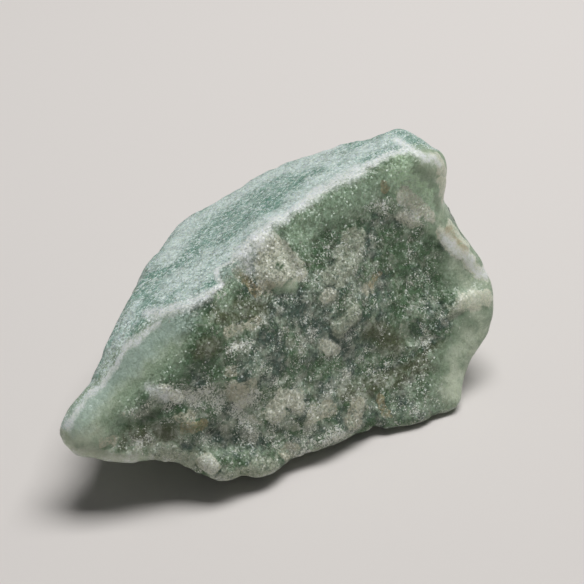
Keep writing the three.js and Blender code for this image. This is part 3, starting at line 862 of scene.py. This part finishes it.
def streaks(tree, where):
    """Milky grains drawn out along the bed of the rock, as on the top."""
    drawn = put(tree, "ShaderNodeMapping", {"Vector": where, "Rotation": BED_TURN, "Scale": BED_DRAWN},
                vector_type="TEXTURE").outputs[0]
    crowd = clouds(tree, drawn, BED_SWARM, 5.0, 0.7).outputs["Fac"]
    fine = frost(tree, drawn, BED_SUGAR, (crowd, 0.5), (1.0, 0.1), (mask(tree, "pale_top"), 0.03))
    coarse = spots(tree, warped(tree, drawn, BED_WARP, BED_REACH), BED_GRAIN, (crowd, 1.5), (1.0, -0.15))
    return total(tree, (fine, 1.0), (coarse, 0.6))


# %% [markdown]
# ### Build the shader
#
# Rubbing crushes the grains on every edge to white, so the wear goes on last. Quartz is a clear
# mineral, so light enters the surface and comes out a few millimetres away. That is subsurface
# scattering, and it lets the thin right edge glow a little; most of that glow is painted into the colour.
# The bump gives each grain a flat face of its own, leaning its own way, and those small faces are what
# sparkles.

# %% Give the grains flat faces
LARGE_FACE, LARGE_LEAN = 0.9 * MM, 0.55
SMALL_FACE, SMALL_LEAN = 0.32 * MM, 2.6 * LARGE_LEAN
RUBBED_DOWN = 0.3
print("flat faces:", round(SMALL_FACE / MM, 2), "and", round(LARGE_FACE / MM, 2), "mm wide")


def facets(tree, where, size):
    """The height of flat faces that lean at random, one for each cell."""
    cell = cells(tree, where, size)
    lean = put(tree, "ShaderNodeVectorMath", {0: cell.outputs["Color"], 1: MID_NOISE}, operation="SUBTRACT")
    inside = put(tree, "ShaderNodeVectorMath", {0: where, 1: cell.outputs["Position"]},
                 operation="SUBTRACT")
    return put(tree, "ShaderNodeVectorMath", {0: lean.outputs[0], 1: inside.outputs[0]},
               operation="DOT_PRODUCT").outputs["Value"]


def sparkle(tree, where):
    """The bump of small and large grain faces, weaker where the stone is rubbed or worn."""
    height = total(tree, (facets(tree, where, SMALL_FACE), SMALL_LEAN),
                   (facets(tree, where, LARGE_FACE), LARGE_LEAN))
    height = maths(tree, "MULTIPLY", height, slope(tree, mask(tree, "rubbed_and_glowing"), 0.0, 0.7, 1.0, RUBBED_DOWN))
    height = maths(tree, "MULTIPLY", height, slope(tree, mask(tree, "wear"), 0.2, 0.8, 1.0, RUBBED_DOWN))
    return put(tree, "ShaderNodeBump", {"Height": height, "Strength": 1.0, "Distance": 1.0}).outputs["Normal"]


# %% Make the material
WORN_WHITE = linear(244, 248, 245)
# Painted shade, for the low places and the clefts.
PAINTED_SHADE = linear(58, 68, 60)
EDGE_NOISE = 3 * MM
RAGGED = 0.35 * MM
MOST_MILKY, MOST_HAZE, MOST_WORN, MOST_SHADE, WORN_GAPS = 0.95, 0.8, 0.92, 0.26, 0.55
CLEAR_GLOSS, MILKY_GLOSS = 0.34, 0.55
QUARTZ_IOR = 1.54
LIGHT_REACH = 4 * MM


def aventurine():
    """Green quartzite with a sugary break."""
    material = bpy.data.materials.new("green_aventurine")
    material.use_nodes = True
    tree = material.node_tree
    tree.nodes.clear()
    where = put(tree, "ShaderNodeTexCoord").outputs["Object"]
    edge = clouds(tree, where, EDGE_NOISE, 7.0, 0.68, 0.4).outputs["Fac"]
    on_top = spread(tree, "top", edge, 0.2, 0.7)
    milky = put(tree, "ShaderNodeMix", {"Factor": on_top, "A": sugar(tree, where), "B": streaks(tree, where)})
    milky = maths(tree, "MINIMUM", milky.outputs["Result"], MOST_MILKY)
    # Painted glow on the front, where the stone is thin or rubbed.
    front = patched(tree, where, edge, with_painted_glow(tree, edge, ground(tree, where, edge), PALE_GLOW))
    hazy = maths(tree, "MULTIPLY", spread(tree, "haze", edge, 0.0, 0.9), MOST_HAZE)
    front = mixed(tree, hazy, front, TURQUOISE)
    # Painted glow on the top, in pale turquoise.
    upper = with_painted_glow(tree, edge, top_ground(tree, where, edge), TURQUOISE)
    colour = mixed(tree, milky, mixed(tree, on_top, front, upper), mixed(tree, on_top, MILKY, TOP_MILKY))
    # Painted shade: the low places and the clefts are darkened.
    colour = mixed(tree, maths(tree, "MULTIPLY", mask(tree, "hollow_shade"), MOST_SHADE), colour, PAINTED_SHADE)
    ragged = total(tree, (edge, 0.5), (clouds(tree, where, RAGGED, 3.0, 0.7).outputs["Fac"], 0.5))
    worn = spread(tree, "wear", ragged, 0.1, 0.9)
    worn = maths(tree, "MULTIPLY", worn, mottled(tree, where, WORN_GAPS))
    colour = mixed(tree, maths(tree, "MULTIPLY", worn, MOST_WORN), colour, WORN_WHITE)
    shader = put(tree, "ShaderNodeBsdfPrincipled", {
        "Base Color": colour, "Roughness": slope(tree, milky, 0.0, 1.0, CLEAR_GLOSS, MILKY_GLOSS),
        "Normal": sparkle(tree, where), "IOR": QUARTZ_IOR, "Subsurface Weight": 0.4,
        "Subsurface Radius": (1.0, 1.0, 0.8), "Subsurface Scale": LIGHT_REACH, "Specular IOR Level": 0.5})
    output = put(tree, "ShaderNodeOutputMaterial")
    tree.links.new(shader.outputs["BSDF"], output.inputs["Surface"])
    return material


# %% Dress the stone
stone.data.materials.clear()
stone.data.materials.append(aventurine())
bpy.ops.object.select_all(action="DESELECT")
stone.select_set(True)
bpy.context.view_layer.objects.active = stone
bpy.ops.object.shade_smooth()
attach(stone, "root")
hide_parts("aventurine")
print("nodes in the material:", len(stone.data.materials[0].node_tree.nodes))

# %% [markdown]
# ## The table, the light and the camera
#
# The stone is shown on a plain pale table. One soft lamp hangs high above it, a little behind it and
# to its right as the camera sees it, so the top is bright, the front is in open shade and its grains
# catch the light. A dim pale world fills the shade.

# %% Lay the table
TABLE_WIDTH = 8.0
TABLE_GREY = linear(228, 223, 219)


def table_finish():
    """Matt pale paper."""
    material = bpy.data.materials.new("pale_table")
    material.use_nodes = True
    shader = material.node_tree.nodes["Principled BSDF"]
    shader.inputs["Base Color"].default_value = TABLE_GREY
    shader.inputs["Roughness"].default_value = 0.9
    return material


bpy.ops.object.select_all(action="DESELECT")
bpy.ops.mesh.primitive_plane_add(size=TABLE_WIDTH, location=(0, 0, 0))
table = bpy.context.active_object
table.name = table.data.name = "table"
table.data.materials.append(table_finish())
print("table:", TABLE_WIDTH, "m wide")

# %% Set up the camera
TURN = radians(-32)
RISE = radians(38)
AWAY = 225 * MM
LOOK_AT = Vector((6.57, -1.37, 21)) * MM
VIEW_ANGLE = radians(27.7)

sideways = Vector((cos(TURN), sin(TURN), 0))
towards = Vector((sin(TURN) * cos(RISE), -cos(TURN) * cos(RISE), sin(RISE)))
camera = bpy.data.cameras.new("camera")
camera.sensor_width = 36
camera.lens = camera.sensor_width / 2 / tan(VIEW_ANGLE / 2)
camera.clip_start = 0.01
camera_holder = bpy.data.objects.new("camera", camera)
camera_holder.location = LOOK_AT + towards * AWAY
camera_holder.rotation_euler = towards.to_track_quat("Z", "Y").to_euler()
bpy.context.scene.collection.objects.link(camera_holder)
bpy.context.scene.camera = camera_holder
print("camera:", [round(value, 3) for value in camera_holder.location], "lens", round(camera.lens, 1), "mm")

# %% Hang the lamp and set the fill
LAMP_TO = Vector((0.29, 0.10, 0.95)).normalized()
LAMP_AWAY = 1.0
LAMP_WIDE, LAMP_HIGH = 0.70, 0.40
LAMP_POWER = 9.0
FILL = (0.97, 0.98, 1.0, 1.0)
FILL_POWER = 0.075

lamp = bpy.data.lights.new("lamp", "AREA")
lamp.shape = "RECTANGLE"
lamp.size, lamp.size_y = LAMP_WIDE, LAMP_HIGH
lamp.energy = LAMP_POWER
lamp_holder = bpy.data.objects.new("lamp", lamp)
across = (sideways - LAMP_TO * sideways.dot(LAMP_TO)).normalized()
lamp_turn = Matrix((across, LAMP_TO.cross(across), LAMP_TO)).transposed()
lamp_holder.matrix_world = Matrix.Translation(LAMP_TO * LAMP_AWAY) @ lamp_turn.to_4x4()
bpy.context.scene.collection.objects.link(lamp_holder)

world = bpy.data.worlds.new("soft_room")
world.use_nodes = True
world.node_tree.nodes["Background"].inputs["Color"].default_value = FILL
world.node_tree.nodes["Background"].inputs["Strength"].default_value = FILL_POWER
bpy.context.scene.world = world
bpy.context.scene.view_settings.view_transform = "Standard"
print("lamp:", LAMP_POWER, "W at", LAMP_AWAY, "m, and a fill of", FILL_POWER)
